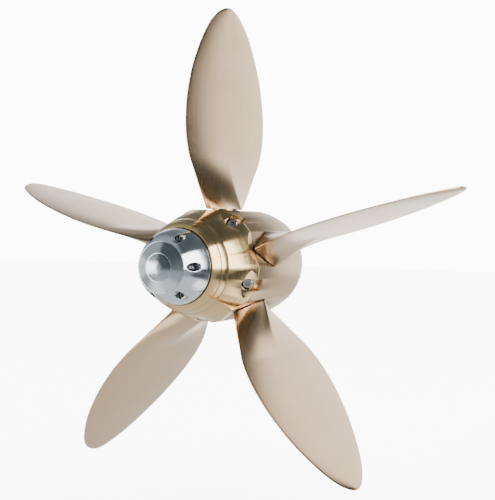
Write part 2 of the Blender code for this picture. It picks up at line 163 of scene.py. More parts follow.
def put(tree, kind, inputs=None, **settings):
    """Adds a node, sets its properties, and gives its inputs values or links."""
    item = tree.nodes.new(kind)
    for key, value in settings.items():
        setattr(item, key, value)
    for key, value in (inputs or {}).items():
        if isinstance(value, bpy.types.NodeSocket):
            tree.links.new(value, item.inputs[key])
        else:
            item.inputs[key].default_value = value
    return item


def maths(tree, operation, *values):
    return put(tree, "ShaderNodeMath", dict(enumerate(values)), operation=operation).outputs[0]


def start_group(name, kind, inputs, outputs):
    """A node group with named sockets, each given as name: default, or name: socket type."""
    tree = bpy.data.node_groups.new(name, kind)
    for label, value in inputs.items():
        socket_type = value if isinstance(value, str) else "NodeSocketFloat"
        socket = tree.interface.new_socket(label, in_out="INPUT", socket_type=socket_type)
        if not isinstance(value, str):
            socket.default_value = value
    for label, socket_type in outputs.items():
        tree.interface.new_socket(label, in_out="OUTPUT", socket_type=socket_type)
    return tree, tree.nodes.new("NodeGroupInput").outputs, tree.nodes.new("NodeGroupOutput")


def lathe_lines_group():
    """Fine rings that a cutting tool leaves on a turned piece, as a height and a tone."""
    tree, given, out = start_group(
        "lathe_lines", "ShaderNodeTree", {"Place": "NodeSocketVector", "Pitch": 0.0004, "Slant": 0.7},
        {"Height": "NodeSocketFloat", "Tone": "NodeSocketFloat"})
    parts = put(tree, "ShaderNodeSeparateXYZ", {0: given["Place"]}).outputs
    radius = maths(tree, "SQRT", maths(tree, "ADD", maths(tree, "MULTIPLY", parts["X"], parts["X"]),
                                       maths(tree, "MULTIPLY", parts["Z"], parts["Z"])))
    along = maths(tree, "MULTIPLY_ADD", radius, given["Slant"], parts["Y"])
    count = maths(tree, "DIVIDE", along, given["Pitch"])
    fine = put(tree, "ShaderNodeTexNoise", {"W": count, "Scale": 1.0, "Detail": 2.0, "Roughness": 0.6},
               noise_dimensions="1D").outputs["Fac"]
    broad = put(tree, "ShaderNodeTexNoise", {"W": count, "Scale": 0.09, "Detail": 2.0},
                noise_dimensions="1D").outputs["Fac"]
    patches = put(tree, "ShaderNodeTexNoise", {"Vector": given["Place"], "Scale": 38.0, "Detail": 2.0})
    height = maths(tree, "MULTIPLY_ADD", broad, 0.8, fine)
    tree.links.new(height, out.inputs["Height"])
    tone = maths(tree, "MULTIPLY", maths(tree, "SUBTRACT", fine, 0.5), patches.outputs["Fac"])
    tree.links.new(maths(tree, "MULTIPLY_ADD", tone, 1.6, broad), out.inputs["Tone"])
    return tree


def edge_wear_glint_group():
    """A mask that is 1 along outer and inner edges, broken up where hands and tools rub less: part wear, part
    painted highlight.
    """
    tree, given, out = start_group("edge_wear_glint", "ShaderNodeTree",
                                   {"Place": "NodeSocketVector", "Width": 0.0010, "Breakup": 90.0},
                                   {"Mask": "NodeSocketFloat"})
    rounded = put(tree, "ShaderNodeBevel", {"Radius": given["Width"]}, samples=6).outputs["Normal"]
    true = put(tree, "ShaderNodeNewGeometry").outputs["Normal"]
    same = put(tree, "ShaderNodeVectorMath", {0: rounded, 1: true}, operation="DOT_PRODUCT").outputs["Value"]
    bend = maths(tree, "MULTIPLY", maths(tree, "SUBTRACT", 1.0, same), 14.0)
    noise = put(tree, "ShaderNodeTexNoise", {"Vector": given["Place"], "Scale": given["Breakup"],
                                            "Detail": 4.0, "Roughness": 0.65}).outputs["Fac"]
    keep = put(tree, "ShaderNodeMapRange", {"Value": noise, "From Min": 0.35, "From Max": 0.62}).outputs[0]
    worn = maths(tree, "MULTIPLY", bend, maths(tree, "MULTIPLY_ADD", keep, 0.75, 0.25))
    tree.links.new(put(tree, "ShaderNodeClamp", {0: worn}).outputs[0], out.inputs["Mask"])
    return tree


def handling_group():
    """Smudges and fine specks that handling leaves on bare metal."""
    tree, given, out = start_group("handling", "ShaderNodeTree",
                                   {"Place": "NodeSocketVector", "Size": 22.0},
                                   {"Smudge": "NodeSocketFloat", "Speck": "NodeSocketFloat"})
    cloud = put(tree, "ShaderNodeTexNoise", {"Vector": given["Place"], "Scale": given["Size"],
                                            "Detail": 5.0, "Roughness": 0.62, "Distortion": 0.6})
    smudge = put(tree, "ShaderNodeMapRange", {"Value": cloud.outputs["Fac"], "From Min": 0.32,
                                              "From Max": 0.72}).outputs[0]
    cells = put(tree, "ShaderNodeTexVoronoi", {"Vector": given["Place"], "Scale": 900.0}).outputs["Distance"]
    dots = put(tree, "ShaderNodeMapRange", {"Value": cells, "From Min": 0.16, "From Max": 0.05}).outputs[0]
    thin = put(tree, "ShaderNodeTexNoise", {"Vector": given["Place"], "Scale": 120.0}).outputs["Fac"]
    sparse = put(tree, "ShaderNodeMapRange", {"Value": thin, "From Min": 0.6, "From Max": 0.68}).outputs[0]
    tree.links.new(smudge, out.inputs["Smudge"])
    tree.links.new(maths(tree, "MULTIPLY", dots, sparse), out.inputs["Speck"])
    return tree


def hollow_shade_group():
    """A mask for painted shade: 1 far down in holes, slots and grooves, where little light reaches."""
    tree, given, out = start_group("hollow_shade", "ShaderNodeTree",
                                   {"Reach": 0.012, "Start": 0.70, "Full": 0.25},
                                   {"Mask": "NodeSocketFloat"})
    open_sky = put(tree, "ShaderNodeAmbientOcclusion", {"Distance": given["Reach"]}, samples=8).outputs["AO"]
    mask = put(tree, "ShaderNodeMapRange", {"Value": open_sky, "From Min": given["Start"],
                                            "From Max": given["Full"]}).outputs[0]
    tree.links.new(mask, out.inputs["Mask"])
    return tree


LATHE_LINES = lathe_lines_group()
EDGE_WEAR_GLINT = edge_wear_glint_group()
HANDLING = handling_group()
HOLLOW_SHADE = hollow_shade_group()


def blended(tree, amount, low, high):
    """A colour that goes from low to high as the amount goes from 0 to 1."""
    item = tree.nodes.new("ShaderNodeMix")
    item.data_type = "RGBA"
    for key, value in ((0, amount), (6, low), (7, high)):
        if isinstance(value, bpy.types.NodeSocket):
            tree.links.new(value, item.inputs[key])
        else:
            item.inputs[key].default_value = (*value, 1.0) if key else value
    return item.outputs[2]


def bare_metal(name, stretch, lathe=True):
    """A metal whose highlights are drawn out across its tool marks: round the shaft, or up a blade."""
    material = bpy.data.materials.new(name)
    material.use_nodes = True
    tree = material.node_tree
    shader = tree.nodes["Principled BSDF"]
    shader.inputs["Metallic"].default_value = 1.0
    shader.inputs["Anisotropic"].default_value = stretch
    shader.inputs["Anisotropic Rotation"].default_value = 0.25 if lathe else 0.0
    place = put(tree, "ShaderNodeTexCoord").outputs["Object"]
    spot = put(tree, "ShaderNodeSeparateXYZ", {0: place}).outputs
    way = {"X": spot["Z"], "Z": maths(tree, "MULTIPLY", spot["X"], -1.0)} if lathe else {"Y": 1.0}
    along = put(tree, "ShaderNodeCombineXYZ", way).outputs[0]
    turned = put(tree, "ShaderNodeVectorTransform", {0: along}, vector_type="VECTOR",
                 convert_from="OBJECT", convert_to="WORLD")
    tree.links.new(turned.outputs[0], shader.inputs["Tangent"])
    return material, tree, shader, place


def ranged(tree, value, low, high, start=0.0, end=1.0):
    """The value, carried from the range start to end over to the range low to high."""
    return put(tree, "ShaderNodeMapRange", {"Value": value, "From Min": start, "From Max": end,
                                            "To Min": low, "To Max": high}).outputs[0]


def placed(tree, group, place, **values):
    item = put(tree, "ShaderNodeGroup", node_tree=group)
    tree.links.new(place, item.inputs["Place"])
    for key, value in values.items():
        item.inputs[key].default_value = value
    return item.outputs


def with_painted_shade(tree, colour, shade=(0.02, 0.014, 0.009), **values):
    """The colour, going over to a painted dark shade far down in holes, slots and grooves."""
    deep = put(tree, "ShaderNodeGroup", node_tree=HOLLOW_SHADE)
    for key, value in values.items():
        deep.inputs[key].default_value = value
    return blended(tree, deep.outputs["Mask"], colour, shade)


def turned_bronze(name, light, dark, smooth, rough, pitch, depth):
    """Bronze straight off the lathe, between a polished and a satin finish."""
    material, tree, shader, place = bare_metal(name, 0.75)
    lines = placed(tree, LATHE_LINES, place, Pitch=pitch)
    wear_and_glint = placed(tree, EDGE_WEAR_GLINT, place)["Mask"]
    hands = placed(tree, HANDLING, place)
    tone = ranged(tree, lines["Tone"], 0.0, 1.0, 0.2, 0.8)
    colour = blended(tree, tone, dark, light)
    colour = blended(tree, maths(tree, "MULTIPLY", hands["Smudge"], 0.25), colour, dark)
    # Paler edges: part wear, part painted highlight.
    colour = blended(tree, maths(tree, "MULTIPLY", wear_and_glint, 0.5), colour, (0.92, 0.78, 0.55))
    colour = blended(tree, hands["Speck"], colour, (0.16, 0.10, 0.05))
    # Painted shade: the colour goes nearly black far down in the slots, recesses and grooves.
    tree.links.new(with_painted_shade(tree, colour), shader.inputs["Base Color"])
    base = ranged(tree, lines["Tone"], smooth, rough)
    handled = maths(tree, "MULTIPLY_ADD", hands["Smudge"], 0.08, base)
    tree.links.new(maths(tree, "MULTIPLY_ADD", wear_and_glint, -0.06, handled), shader.inputs["Roughness"])
    bump = put(tree, "ShaderNodeBump", {"Strength": 0.35, "Distance": depth, "Height": lines["Height"]})
    tree.links.new(bump.outputs["Normal"], shader.inputs["Normal"])
    return material


def replace_node(piece, material, body, slot, *nodes):
    """Dresses a finished piece and lets it stand for its plain solids."""
    piece.data.materials.clear()
    piece.data.materials.append(material)
    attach(piece, body)
    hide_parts(*nodes)


gear_tip = BOSS_FLANGE_RADIUS * GEAR_CONE_SLOPE + 0.0006
gear_root = BOSS_RADIUS * GEAR_CONE_SLOPE + 0.0006
face_station = BOSS_FACE_Y - BLADE_PLANE_Y
bore_end_radius = BORE_MOUTH_RADIUS - BORE_TAPER * face_station
boss_profile = [(BORE_MOUTH_RADIUS, face_station), (BOSS_RADIUS - 0.0015, face_station),
                (BOSS_RADIUS, face_station - 0.0015), (BOSS_RADIUS, BOSS_FLANGE_FRONT),
                (BOSS_FLANGE_RADIUS, BOSS_FLANGE_FRONT), (BOSS_FLANGE_RADIUS, gear_tip),
                (BOSS_RADIUS, gear_root), (BOSS_RADIUS, BOSS_END_STATION),
                (NUT_RECESS_RADIUS, BOSS_END_STATION), (NUT_RECESS_RADIUS, 0.0), (bore_end_radius, 0.0)]
key_place = Matrix.Translation((0.0, BLADE_PLANE_Y + face_station / 2 + 0.003,
                                BORE_MOUTH_RADIUS - BORE_TAPER * face_station / 2 + KEYWAY_DEPTH - 0.01))
key_tool = milled_block(KEYWAY_WIDTH, face_station + 0.01, 0.02,
                        key_place @ Matrix.Rotation(math.atan(BORE_TAPER), 4, "X"))
boss = machined("shaft_boss_turned", turned_on_shaft(boss_profile), [key_tool])
boss_finish = turned_bronze("boss_bronze", light=(0.80, 0.57, 0.30), dark=(0.64, 0.44, 0.21),
                            smooth=0.20, rough=0.34, pitch=0.0005, depth=0.00004)
replace_node(boss, boss_finish, "boss", "boss_bronze", "shaft_boss")


# The forward half of the hub is a bronze drum that rounds off towards the shaft. Five flat
# seats are milled across it for the blades, and five short slots lie between them.
BLADE_COUNT = 5
HUB_RADIUS = 0.0788
HUB_RIM_STATION = 0.114
HUB_RIM_ROUND = 0.003
CROWN_START = 0.036
CROWN_LENGTH = 0.087
CROWN_DROP = 0.0153
PARTING_STATION = -0.0455
SEAT_RADIUS = 0.0748
SEAT_WIDTH = 0.055
SEAT_TOOL_HEIGHT = 0.02
CAVITY_RADIUS = 0.050
CAVITY_START = 0.037
STEM_RADIUS = 0.0180
GEAR_POCKET_RADIUS = 0.0250
GEAR_POCKET_TOP = 0.0549
RUNNING_GAP = 0.0003
SLOT_HALF_WIDTH = 0.0085
SLOT_END_STATION = -0.028
SLOT_OPEN_STATION = -0.054
SLOT_FLOOR = 0.0730
TOOL_REACH = 0.1


def at_azimuth(degrees):
    """Stands a shape built along +Z on the blade plane, turned to an azimuth from +X to +Z."""
    return (Matrix.Translation((0.0, BLADE_PLANE_Y, 0.0))
            @ Matrix.Rotation(math.radians(90.0 - degrees), 4, "Y"))


blade_places = [at_azimuth(90.0 - index * 360.0 / BLADE_COUNT) for index in range(BLADE_COUNT)]
between_blades = [at_azimuth(90.0 - (index + 0.5) * 360.0 / BLADE_COUNT) for index in range(BLADE_COUNT)]


def prism(outline, low, high):
    """An outline of (x, y) points, drawn up from low to high."""
    shape = bmesh.new()
    bottom = [shape.verts.new((x, y, low)) for x, y in outline]
    top = [shape.verts.new((x, y, high)) for x, y in outline]
    for step in range(len(outline)):
        after = (step + 1) % len(outline)
        shape.faces.new((bottom[step], bottom[after], top[after], top[step]))
    shape.faces.new(list(reversed(bottom)))
    shape.faces.new(top)
    bmesh.ops.recalc_face_normals(shape, faces=shape.faces)
    return shape


def round_tool(radius, low, high, steps=64):
    turns = [2.0 * math.pi * step / steps for step in range(steps)]
    return prism([(radius * math.cos(a), radius * math.sin(a)) for a in turns], low, high)


def repeated(make_tool, places):
    """The same tool at several places, as one shape."""
    shape = bmesh.new()
    for matrix in places:
        tool = make_tool()
        tool.transform(matrix)
        mesh = bpy.data.meshes.new("tool")
        tool.to_mesh(mesh)
        tool.free()
        shape.from_mesh(mesh)
        bpy.data.meshes.remove(mesh)
    return shape


def slot_tool():
    centre = SLOT_END_STATION - SLOT_HALF_WIDTH
    bend = [math.pi * step / 32 for step in range(33)]
    outline = [(SLOT_HALF_WIDTH, SLOT_OPEN_STATION)]
    outline += [(SLOT_HALF_WIDTH * math.cos(a), centre + SLOT_HALF_WIDTH * math.sin(a)) for a in bend]
    outline += [(-SLOT_HALF_WIDTH, SLOT_OPEN_STATION)]
    return prism(outline, SLOT_FLOOR, TOOL_REACH)


def seat_tool():
    length = 0.26
    return milled_block(SEAT_WIDTH, length, SEAT_TOOL_HEIGHT,
                        Matrix.Translation((0.0, 0.009, SEAT_RADIUS + SEAT_TOOL_HEIGHT / 2)))


def crown_radius(station):
    """The drum's outside, which rounds off towards the shaft along part of an ellipse."""
    share = max(0.0, station - CROWN_START) / CROWN_LENGTH
    return HUB_RADIUS - CROWN_DROP * (1.0 - math.sqrt(1.0 - share ** 2))


def satin_bronze(name):
    """Bronze dulled by a fine belt, with faint grinding lines and painted shade in its hollows."""
    material, tree, shader, place = bare_metal(name, 0.5)
    lines = placed(tree, LATHE_LINES, place, Pitch=0.0011, Slant=0.5)
    wear_and_glint = placed(tree, EDGE_WEAR_GLINT, place, Breakup=60.0)["Mask"]
    hands = placed(tree, HANDLING, place, Size=15.0)
    stretched = put(tree, "ShaderNodeMapping", {"Vector": place, "Scale": (60.0, 900.0, 60.0)}).outputs[0]
    grain = put(tree, "ShaderNodeTexNoise", {"Vector": stretched, "Scale": 1.0, "Detail": 3.0}).outputs["Fac"]
    colour = blended(tree, grain, (0.65, 0.455, 0.265), (0.75, 0.535, 0.32))
    colour = blended(tree, maths(tree, "MULTIPLY", hands["Smudge"], 0.3), colour, (0.59, 0.41, 0.235))
    # Paler edges: part wear, part painted highlight.
    colour = blended(tree, maths(tree, "MULTIPLY", wear_and_glint, 0.5), colour, (0.92, 0.74, 0.52))
    colour = blended(tree, hands["Speck"], colour, (0.20, 0.13, 0.08))
    # Painted shade: the colour goes nearly black far down in the seats' slots and stem bores.
    tree.links.new(with_painted_shade(tree, colour), shader.inputs["Base Color"])
    base = ranged(tree, grain, 0.19, 0.30)
    handled = maths(tree, "MULTIPLY_ADD", hands["Smudge"], 0.07, base)
    tree.links.new(maths(tree, "MULTIPLY_ADD", wear_and_glint, -0.10, handled), shader.inputs["Roughness"])
    height = maths(tree, "MULTIPLY_ADD", lines["Height"], 0.5, grain)
    bump = put(tree, "ShaderNodeBump", {"Strength": 0.4, "Distance": 0.00005, "Height": height})
    tree.links.new(bump.outputs["Normal"], shader.inputs["Normal"])
    return material


bearing = BOSS_RADIUS + RUNNING_GAP
crown_end = HUB_RIM_STATION - HUB_RIM_ROUND
rim_radius = crown_radius(crown_end)
body_profile = [(bearing, HUB_RIM_STATION)]
body_profile += arc_between((rim_radius - HUB_RIM_ROUND, HUB_RIM_STATION), (rim_radius, HUB_RIM_STATION),
                            (rim_radius, crown_end), 8)
for step in range(1, 33):
    station = crown_end + (CROWN_START - crown_end) * step / 32
    body_profile.append((crown_radius(station), station))
body_profile += [(HUB_RADIUS, PARTING_STATION), (CAVITY_RADIUS, PARTING_STATION),
                 (CAVITY_RADIUS, CAVITY_START), (bearing, CAVITY_START)]
body_tools = [repeated(seat_tool, blade_places),
              repeated(lambda: round_tool(STEM_RADIUS + RUNNING_GAP, 0.03, TOOL_REACH), blade_places),
              repeated(lambda: round_tool(GEAR_POCKET_RADIUS, 0.03, GEAR_POCKET_TOP), blade_places),
              repeated(slot_tool, between_blades)]
hub_drum = machined("hub_drum", turned_on_shaft(body_profile), body_tools)
satin_finish = satin_bronze("satin_bronze")
replace_node(hub_drum, satin_finish, "hub", "satin_bronze", "hub_body")


# The aft half of the hub is a bronze cone, turned and polished until it mirrors the blades.
# It closes the gear case, and five screws in milled recesses hold it to the drum.
SHOULDER_STATION = -0.050
SHOULDER_RADIUS = 0.0784
CONE_END_STATION = -0.101
CONE_END_RADIUS = 0.0626
COVER_CAVITY_RADIUS = 0.044
COVER_CAVITY_END = -0.072
SPIGOT_RADIUS = 0.045
SPIGOT_END = -0.1225
SCREW_TILT = 24.0
SCREW_HEAD_STATION = -0.0555
SCREW_HEAD_HEIGHT = 0.0700
SCREW_HEAD_RADIUS = 0.0065
SCREW_HEAD_LENGTH = 0.006
HEAD_POCKET_RADIUS = 0.0078
RECESS_RADIUS = 0.0225
RECESS_STATION = -0.0505
RECESS_HEIGHT = 0.0770
POLISHED = {"light": (0.86, 0.61, 0.30), "dark": (0.70, 0.48, 0.215), "smooth": 0.10, "rough": 0.21}

lean_back = Matrix.Rotation(math.radians(90.0 - SCREW_TILT), 4, "X")
screw_places = [place @ Matrix.Translation((0.0, SCREW_HEAD_STATION, SCREW_HEAD_HEIGHT)) @ lean_back
                for place in between_blades]
lean_floor = Matrix.Rotation(math.radians(SCREW_TILT), 4, "X")
recess_places = [place @ Matrix.Translation((0.0, RECESS_STATION, RECESS_HEIGHT)) @ lean_floor
                 for place in between_blades]
cover_top = PARTING_STATION - RUNNING_GAP
cover_profile = [(COVER_CAVITY_RADIUS, cover_top)]
cover_profile += arc_between((HUB_RADIUS, cover_top), (SHOULDER_RADIUS + 0.0003, SHOULDER_STATION),
                             (SHOULDER_RADIUS - 0.0012, SHOULDER_STATION - 0.004), 8)
cover_profile += [(CONE_END_RADIUS, CONE_END_STATION), (SPIGOT_RADIUS, CONE_END_STATION),
                  (SPIGOT_RADIUS, SPIGOT_END), (0.0, SPIGOT_END), (0.0, COVER_CAVITY_END),
                  (COVER_CAVITY_RADIUS, COVER_CAVITY_END)]
cover_tools = [repeated(seat_tool, blade_places), repeated(slot_tool, between_blades),
               repeated(lambda: round_tool(RECESS_RADIUS, 0.0, TOOL_REACH, 96), recess_places),
               repeated(lambda: round_tool(HEAD_POCKET_RADIUS, -SCREW_HEAD_LENGTH - RUNNING_GAP, TOOL_REACH),
                        screw_places)]
hub_cone = machined("hub_cone", turned_on_shaft(cover_profile), cover_tools)
cone_finish = turned_bronze("turned_bronze", pitch=0.00055, depth=0.00003, **POLISHED)
replace_node(hub_cone, cone_finish, "hub", "turned_bronze", "hub_cover")


# Two rings are turned to go on over the cone's spigot, with a fine groove left before each.
# The wide one rolls over into the recess that the nose anode sits in.
NARROW_RING_END = -0.1122
NARROW_RING_END_RADIUS = 0.0585
GROOVE_WIDTH = 0.0008
WIDE_RING_END = -0.1242
WIDE_RING_END_RADIUS = 0.0513
ANODE_RECESS_RADIUS = 0.0503

ring_bore = SPIGOT_RADIUS + RUNNING_GAP
start = CONE_END_STATION - GROOVE_WIDTH
narrow_profile = [(ring_bore, start), (CONE_END_RADIUS - 0.0003, start),
                  (NARROW_RING_END_RADIUS, NARROW_RING_END), (ring_bore, NARROW_RING_END)]
narrow_ring = machined("narrow_ring_turned", turned_on_shaft(narrow_profile))
ring_finish = turned_bronze("ring_bronze", pitch=0.0004, depth=0.00003, **POLISHED)
replace_node(narrow_ring, ring_finish, "hub", "turned_bronze", "narrow_ring")
start = NARROW_RING_END - GROOVE_WIDTH
wide_profile = [(ring_bore, start)]
wide_profile += arc_between((NARROW_RING_END_RADIUS - 0.0003, start),
                            (WIDE_RING_END_RADIUS + 0.0032, WIDE_RING_END + 0.003),
                            (WIDE_RING_END_RADIUS, WIDE_RING_END), 14)
wide_profile += [(ANODE_RECESS_RADIUS, WIDE_RING_END), (ANODE_RECESS_RADIUS, SPIGOT_END),
                 (ring_bore, SPIGOT_END)]
wide_ring = machined("wide_ring_turned", turned_on_shaft(wide_profile), softness=0.0002)
replace_node(wide_ring, ring_finish, "hub", "turned_bronze", "wide_ring")


# The nose is a sacrificial anode, turned from aluminium and left bright. Three of its six
# counterbored holes take the screws that hold it on.
ANODE_RADIUS = 0.0497
ANODE_RIM_STATION = -0.1275
ANODE_STEP_STATION = -0.1645
ANODE_STEP_RADIUS = 0.0333
ANODE_STEP_HEIGHT = 0.0008
NOSE_RING_RADIUS = 0.0185
NOSE_RING_STATION = -0.1705
NOSE_TIP_STATION = -0.1765
ANODE_HOLES = 6
ANODE_HOLE_CIRCLE = 0.041
ANODE_HOLE_RADIUS = 0.0056
ANODE_HOLE_AZIMUTH = 3.0
ANODE_SCREW_SEAT = -0.141
ANODE_BLIND_FLOOR = -0.143


def anode_hole(index):
    """Frame of one of the anode's holes, with +Z pointing aft out of its mouth."""
    azimuth = math.radians(ANODE_HOLE_AZIMUTH + index * 360.0 / ANODE_HOLES)
    centre = Vector((ANODE_HOLE_CIRCLE * math.cos(azimuth), BLADE_PLANE_Y,
                     ANODE_HOLE_CIRCLE * math.sin(azimuth)))
    return Matrix.Translation(centre) @ Matrix.Rotation(math.radians(90.0), 4, "X")


def bright_aluminium():
    """Aluminium off the lathe: tool rings, a cool tint, and a skin that has begun to dull."""
    material, tree, shader, place = bare_metal("anode_metal", 0.75)
    lines = placed(tree, LATHE_LINES, place, Pitch=0.00045, Slant=1.3)
    wear_and_glint = placed(tree, EDGE_WEAR_GLINT, place)["Mask"]
    hands = placed(tree, HANDLING, place, Size=30.0)
    tone = ranged(tree, lines["Tone"], 0.0, 1.0, 0.2, 0.8)
    colour = blended(tree, tone, (0.64, 0.70, 0.72), (0.78, 0.83, 0.85))
    colour = blended(tree, maths(tree, "MULTIPLY", hands["Smudge"], 0.3), colour, (0.55, 0.61, 0.64))
    # Paler edges: part wear, part painted highlight.
    colour = blended(tree, maths(tree, "MULTIPLY", wear_and_glint, 0.6), colour, (0.93, 0.94, 0.95))
    colour = blended(tree, hands["Speck"], colour, (0.25, 0.26, 0.27))
    # Painted shade: the colour goes nearly black far down in the holes.
    tree.links.new(with_painted_shade(tree, colour, (0.012, 0.013, 0.014)), shader.inputs["Base Color"])
    base = ranged(tree, lines["Tone"], 0.07, 0.17)
    tree.links.new(maths(tree, "MULTIPLY_ADD", hands["Smudge"], 0.06, base), shader.inputs["Roughness"])
    bump = put(tree, "ShaderNodeBump", {"Strength": 0.4, "Distance": 0.00004, "Height": lines["Height"]})
    tree.links.new(bump.outputs["Normal"], shader.inputs["Normal"])
    return material


anode_back = SPIGOT_END - RUNNING_GAP
anode_profile = [(0.0, anode_back), (ANODE_RADIUS, anode_back)]
anode_profile += arc_between((ANODE_RADIUS, ANODE_RIM_STATION),
                             (ANODE_RADIUS - 0.0035, ANODE_RIM_STATION - 0.0225),
                             (ANODE_STEP_RADIUS, ANODE_STEP_STATION), 40)
anode_profile += [(ANODE_STEP_RADIUS - ANODE_STEP_HEIGHT, ANODE_STEP_STATION),
                  (NOSE_RING_RADIUS, NOSE_RING_STATION),
                  (NOSE_RING_RADIUS - ANODE_STEP_HEIGHT, NOSE_RING_STATION), (0.0, NOSE_TIP_STATION)]
open_end = TOOL_REACH - anode_back
anode_tools = [repeated(lambda: round_tool(ANODE_HOLE_RADIUS, -ANODE_SCREW_SEAT, open_end),
                        [anode_hole(index) for index in (1, 3, 5)]),
               repeated(lambda: round_tool(ANODE_HOLE_RADIUS, -ANODE_BLIND_FLOOR, open_end),
                        [anode_hole(index) for index in (0, 2, 4)])]
anode = machined("nose_anode", turned_on_shaft(anode_profile), anode_tools)
anode_finish = bright_aluminium()
replace_node(anode, anode_finish, "hub", "anode_metal", "anode")


# Socket head screws in stainless steel, with a knurled head and a hexagon socket. Five hold
# the cone to the drum, and three smaller ones hold the anode.
ANODE_SCREW_HEAD_RADIUS = 0.005
ANODE_SCREW_HEAD_LENGTH = 0.006
KNURLS = 30


def real_and_dressed(tree, geometry, material):
    """The end of every tree: copies made real, and their material set."""
    real = put(tree, "GeometryNodeRealizeInstances", {"Geometry": geometry}).outputs[0]
    return put(tree, "GeometryNodeSetMaterial", {"Geometry": real, "Material": material}).outputs[0]


def screw_tree():
    """One screw head by rule, copied to every point of a mesh and turned to its own axis."""
    floats = {"Head Radius": 0.0065, "Head Length": 0.006, "Socket Width": 0.006, "Shank Radius": 0.004,
              "Edge Round": 0.0006, "Knurl Depth": 0.00012}
    inputs = {"Places": "NodeSocketGeometry", **floats, "Material": "NodeSocketMaterial"}
    tree, given, out = start_group("socket_screw", "GeometryNodeTree", inputs,
                                   {"Screws": "NodeSocketGeometry"})
    rows, around = 7, KNURLS * 4
    grid = put(tree, "GeometryNodeMeshGrid", {"Size X": 1.0, "Size Y": 1.0, "Vertices X": around + 1,
                                              "Vertices Y": rows}).outputs["Mesh"]
    here = tree.nodes.new("GeometryNodeInputPosition").outputs[0]
    spot = put(tree, "ShaderNodeSeparateXYZ", {0: here}).outputs
    turn = maths(tree, "MULTIPLY", maths(tree, "ADD", spot["X"], 0.5), 2.0 * math.pi)
    row = maths(tree, "ROUND", maths(tree, "MULTIPLY", maths(tree, "ADD", spot["Y"], 0.5), rows - 1.0))
    inner = maths(tree, "SUBTRACT", given["Head Radius"], given["Edge Round"])
    below = maths(tree, "MULTIPLY", given["Edge Round"], -1.0)
    under = maths(tree, "MULTIPLY", given["Head Length"], -1.0)
    knurl_end = maths(tree, "ADD", under, given["Edge Round"])
    radii = [0.0, inner, given["Head Radius"], given["Head Radius"], inner, given["Shank Radius"], 0.0]
    heights = [0.0, 0.0, below, knurl_end, under, under, under]

    def by_row(values):
        switch = tree.nodes.new("GeometryNodeIndexSwitch")
        switch.data_type = "FLOAT"
        while len(switch.index_switch_items) < len(values):
            switch.index_switch_items.new()
        tree.links.new(row, switch.inputs["Index"])
        for position, value in enumerate(values):
            if isinstance(value, bpy.types.NodeSocket):
                tree.links.new(value, switch.inputs[position + 1])
            else:
                switch.inputs[position + 1].default_value = value
        return switch.outputs[0]

    wave = maths(tree, "COSINE", maths(tree, "MULTIPLY", turn, float(KNURLS)))
    side = maths(tree, "COMPARE", row, 2.5, 0.6)
    ridge = maths(tree, "MULTIPLY", maths(tree, "MULTIPLY", wave, side), given["Knurl Depth"])
    radius = maths(tree, "ADD", by_row(radii), ridge)
    across = maths(tree, "MULTIPLY", radius, maths(tree, "COSINE", turn))
    upward = maths(tree, "MULTIPLY", radius, maths(tree, "SINE", turn))
    place = put(tree, "ShaderNodeCombineXYZ", {"X": across, "Y": upward, "Z": by_row(heights)}).outputs[0]
    head = put(tree, "GeometryNodeSetPosition", {"Geometry": grid, "Position": place}).outputs[0]
    head = put(tree, "GeometryNodeMergeByDistance", {"Geometry": head, "Distance": 1e-6}).outputs[0]
    corner = maths(tree, "DIVIDE", given["Socket Width"], math.sqrt(3.0))
    depth = maths(tree, "MULTIPLY", given["Head Length"], 0.9)
    hexagon = put(tree, "GeometryNodeMeshCylinder", {"Vertices": 6, "Radius": corner, "Depth": depth})
    socket = put(tree, "GeometryNodeMeshBoolean", {0: head, 1: hexagon.outputs["Mesh"]},
                 operation="DIFFERENCE").outputs[0]
    axis = put(tree, "GeometryNodeInputNamedAttribute", {"Name": "screw_axis"},
               data_type="FLOAT_VECTOR").outputs[0]
    facing = put(tree, "FunctionNodeAlignRotationToVector", {"Vector": axis}, axis="Z").outputs[0]
    copies = put(tree, "GeometryNodeInstanceOnPoints",
                 {"Points": given["Places"], "Instance": socket, "Rotation": facing}).outputs[0]
    tree.links.new(real_and_dressed(tree, copies, given["Material"]), out.inputs["Screws"])
    return tree


def made_by_rule(name, places, tree, values):
    """Runs a tree on a mesh of points and keeps the plain mesh that comes out."""
    mesh = bpy.data.meshes.new(name)
    mesh.from_pydata([matrix.translation for matrix in places], [], [])
    axes = mesh.attributes.new("screw_axis", "FLOAT_VECTOR", "POINT")
    for spot, matrix in zip(axes.data, places):
        spot.vector = matrix.to_3x3() @ Vector((0.0, 0.0, 1.0))
    item = bpy.data.objects.new(name, mesh)
    bpy.context.scene.collection.objects.link(item)
    rule = item.modifiers.new("rule", "NODES")
    rule.node_group = tree
    sockets = {s.name: s.identifier for s in tree.interface.items_tree if s.in_out == "INPUT"}
    for label, value in values.items():
        rule[sockets[label]] = value
    finished_mesh(item)
    item.data.shade_smooth()
    item.data.set_sharp_from_angle(angle=math.radians(32))
    return item


def screw_steel():
    """Stainless steel with a rolled sheen, and painted shade in its socket and knurling."""
    material, tree, shader, place = bare_metal("screw_steel", 0.0)
    wear_and_glint = placed(tree, EDGE_WEAR_GLINT, place, Width=0.0005, Breakup=300.0)["Mask"]
    hands = placed(tree, HANDLING, place, Size=160.0)
    colour = blended(tree, hands["Smudge"], (0.62, 0.60, 0.57), (0.38, 0.36, 0.33))
    # Paler rims and edges: part wear, part painted highlight.
    colour = blended(tree, wear_and_glint, colour, (0.86, 0.85, 0.83))
    # Painted shade: the colour goes nearly black deep in the hexagon socket and between the knurls.
    tree.links.new(with_painted_shade(tree, colour, (0.015, 0.014, 0.013), Reach=0.004), shader.inputs["Base Color"])
    tree.links.new(ranged(tree, hands["Smudge"], 0.16, 0.36), shader.inputs["Roughness"])
    bump = put(tree, "ShaderNodeBump", {"Strength": 0.3, "Distance": 0.00004, "Height": hands["Smudge"]})
    tree.links.new(bump.outputs["Normal"], shader.inputs["Normal"])
    return material


